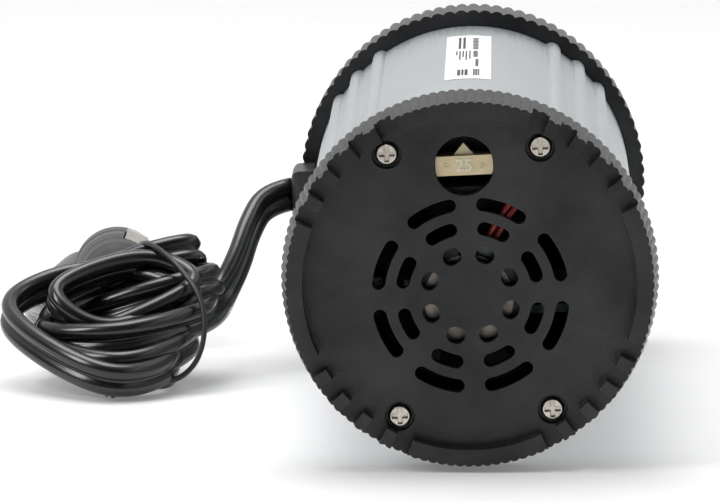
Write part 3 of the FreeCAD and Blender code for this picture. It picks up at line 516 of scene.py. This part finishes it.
class INVERTER_OT_label_print(bpy.types.Operator):
    """Small blocks of ink in lines along the label, where the real one has words"""
    bl_idname = "inverter.label_print"
    bl_label = "Label print"

    def execute(self, context):
        wide = LABEL_HIGH.x - LABEL_LOW.x
        long = LABEL_HIGH.y - LABEL_LOW.y
        lines = []
        for across, start, reach, height, share in PRINT_LINES:
            start_fresh()
            size = height * MM
            pitch = max(FINEST_PITCH, size * 2.2)
            blocks = max(2, round(long * reach / pitch))
            x = LABEL_LOW.x + wide * across
            tilt = math.asin(x / LABEL_CURVE)
            lift = LABEL_HIGH.z - LABEL_CURVE * (1 - math.cos(tilt)) + INK_LIFT
            spot = (x, LABEL_HIGH.y - long * start - pitch / 2, lift)
            bpy.ops.mesh.primitive_plane_add(size=1, location=spot, rotation=(0, tilt, 0))
            block = bpy.context.object
            bpy.ops.object.transform_apply(location=False, rotation=True, scale=False)
            bpy.ops.object.mode_set(mode="EDIT")
            bpy.ops.transform.resize(value=(size, pitch * share, size))
            bpy.ops.object.mode_set(mode="OBJECT")
            row = block.modifiers.new("row", "ARRAY")
            row.use_relative_offset = False
            row.use_constant_offset = True
            row.constant_offset_displace = (0, -pitch, 0)
            row.count = blocks
            bpy.ops.object.modifier_apply(modifier="row")
            lines.append(block)
        join_all(lines)
        ink = finish("label_ink", context.scene.inverter_finish.ink, rough=(0.4, 0.5), shade=0.3, cloud=900)
        settle("label_print", ink, "can")
        return {"FINISHED"}


FUSE_LOW, FUSE_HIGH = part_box("fuse_body")
# Height of the fuse's face below its ridge, and the share of it at which the marks stand.
FUSE_THICK = 0.0037
MARKS_SHARE = 0.56
# Test points: distance from the middle, radius, rim and depth of the dimple.
POINT_OFF, POINT_RADIUS, POINT_RIM, POINT_DEEP = 0.0033, 0.00042, 0.00012, 0.00018


class INVERTER_OT_fuse_marks(bpy.types.Operator):
    """Raised rating digits and the two test points on the fuse's face"""
    bl_idname = "inverter.fuse_marks"
    bl_label = "Fuse marks"

    def execute(self, context):
        middle = (FUSE_LOW + FUSE_HIGH) / 2
        middle.z = FUSE_LOW.z + FUSE_THICK * MARKS_SHARE
        pale = finish("fuse_digits", seen(238, 232, 214), rough=(0.3, 0.4), shade=0.05, cloud=600,
                      Subsurface_Weight=0.2, Subsurface_Scale=0.0006)
        start_fresh()
        bpy.ops.object.text_add(location=(middle.x, FUSE_LOW.y, middle.z), rotation=(math.radians(90), 0, 0))
        words = bpy.context.object
        words.data.body = "25"
        words.data.align_x = "CENTER"
        words.data.align_y = "CENTER"
        words.data.size = 0.0032
        words.data.extrude = 0.00012
        words.data.bevel_depth = 0.00003
        bpy.ops.object.convert(target="MESH")
        settle("fuse_digits", pale, "fuse")
        bright = metal("test_point", seen(236, 230, 214), rough=(0.15, 0.25), shade=0.2, cloud=900)
        points = []
        for side in (-1, 1):
            start_fresh()
            spot = (middle.x + side * POINT_OFF, FUSE_LOW.y - 0.00002, middle.z + 0.0001)
            bpy.ops.mesh.primitive_cylinder_add(vertices=16, radius=POINT_RADIUS, depth=0.0003, location=spot,
                                                rotation=(math.radians(90), 0, 0))
            stud = bpy.context.object
            bpy.ops.object.transform_apply(location=True, rotation=True, scale=True)
            bpy.ops.object.mode_set(mode="EDIT")
            pick(stud, lambda face: face.normal.y < -0.9)
            bpy.ops.mesh.inset(thickness=POINT_RIM)
            bpy.ops.transform.translate(value=(0, POINT_DEEP, 0))
            bpy.ops.object.mode_set(mode="OBJECT")
            points.append(stud)
        join_all(points)
        settle("fuse_test_points", bright, "fuse")
        return {"FINISHED"}


# ---------------------------------------------------------------- floor, light and camera

def area_light(name, place, towards, size, power):
    """A rectangular soft lamp that faces a point."""
    light = bpy.data.lights.new(name, "AREA")
    light.shape = "RECTANGLE"
    light.size, light.size_y = size
    light.energy = power
    lamp = bpy.data.objects.new(name, light)
    lamp.location = place
    lamp.rotation_euler = (Vector(towards) - Vector(place)).to_track_quat("-Z", "Y").to_euler()
    bpy.context.collection.objects.link(lamp)


def studio_room(strength):
    """A white room whose front wall is dim, so that black pieces stay black from the front."""
    world = bpy.data.worlds.new("studio_room")
    world.use_nodes = True
    tree = world.node_tree
    backdrop = tree.nodes["Background"]
    backdrop.inputs["Strength"].default_value = strength
    place = add(tree, "ShaderNodeTexCoord", (-900, 0))
    parts = add(tree, "ShaderNodeSeparateXYZ", (-700, 0))
    level = add(tree, "ShaderNodeMath", (-500, 0), operation="MULTIPLY_ADD")
    level.inputs[1].default_value = 0.9
    tree.links.new(place.outputs["Generated"], parts.inputs["Vector"])
    tree.links.new(parts.outputs["Z"], level.inputs[0])
    tree.links.new(parts.outputs["Y"], level.inputs[2])
    walls = add(tree, "ShaderNodeValToRGB", (-300, 0))
    walls.color_ramp.elements[0].position = 0.12
    walls.color_ramp.elements[0].color = (0.05, 0.05, 0.055, 1)
    walls.color_ramp.elements[1].position = 0.7
    walls.color_ramp.elements[1].color = (1, 1, 1, 1)
    tree.links.new(level.outputs["Value"], walls.inputs["Fac"])
    tree.links.new(walls.outputs["Color"], backdrop.inputs["Color"])
    return world


class INVERTER_OT_stage(bpy.types.Operator):
    """White floor, white room, three soft lamps and the camera"""
    bl_idname = "inverter.stage"
    bl_label = "Stage"

    def execute(self, context):
        settings = context.scene.inverter_stage
        start_fresh()
        bpy.ops.mesh.primitive_plane_add(size=settings.floor_reach, location=(0, 1.5, -0.0001))
        floor = settle("floor", finish("white_floor", (0.76, 0.76, 0.765, 1), rough=(0.6, 0.75), grain=60,
                                       bump=0.01, shade=0.01, cloud=3, Emission_Color=(1, 1, 1, 1),
                                       Emission_Strength=0.17))
        context.scene.world = studio_room(settings.sky)
        area_light("top_panel", (-0.15, 0.15, 1.1), (-0.02, 0.02, 0), (0.7, 0.7), 8.0)
        area_light("left_panel", (-1.0, -0.5, 0.8), (0, 0, 0.03), (0.3, 0.7), 7.0)
        area_light("right_panel", (1.1, 0.1, 0.5), (0, 0, 0.03), (0.25, 0.7), 2.5)
        camera_data = bpy.data.cameras.new("camera")
        camera_data.lens = settings.camera_lens
        camera_data.sensor_width = 36.0
        camera_data.clip_end = 20.0
        camera = bpy.data.objects.new("camera", camera_data)
        camera.location = settings.camera_place
        camera.rotation_euler = (math.radians(90) - settings.camera_down, 0, settings.camera_turn)
        context.collection.objects.link(camera)
        context.scene.camera = camera
        context.scene.view_settings.view_transform = "Standard"
        return {"FINISHED"}


class INVERTER_PT_panel(bpy.types.Panel):
    """Lists the sizes and the steps"""
    bl_label = "Round inverter"
    bl_idname = "INVERTER_PT_panel"
    bl_space_type = "VIEW_3D"
    bl_region_type = "UI"
    bl_category = "Inverter"

    def draw(self, context):
        for group in (context.scene.inverter_flex, context.scene.inverter_finish,
                      context.scene.inverter_stage):
            box = self.layout.box()
            for name in group.__annotations__:
                box.prop(group, name)
        for step in STEPS:
            self.layout.operator(step.bl_idname)


STEPS = (INVERTER_OT_stage, INVERTER_OT_finishes, INVERTER_OT_tie, INVERTER_OT_flex, INVERTER_OT_label_print,
         INVERTER_OT_fuse_marks)
GROUPS = {"inverter_flex": FlexSettings, "inverter_finish": FinishSettings, "inverter_stage": StageSettings}


def register():
    for kind in (*GROUPS.values(), *STEPS, INVERTER_PT_panel):
        bpy.utils.register_class(kind)
    for name, kind in GROUPS.items():
        setattr(bpy.types.Scene, name, PointerProperty(type=kind))


def unregister():
    for name in GROUPS:
        delattr(bpy.types.Scene, name)
    for kind in reversed((*GROUPS.values(), *STEPS, INVERTER_PT_panel)):
        bpy.utils.unregister_class(kind)


def main():
    register()
    bpy.ops.inverter.stage()
    bpy.ops.inverter.finishes()
    bpy.ops.inverter.tie()
    bpy.ops.inverter.flex()
    bpy.ops.inverter.label_print()
    bpy.ops.inverter.fuse_marks()


if __name__ == "__main__":
    main()
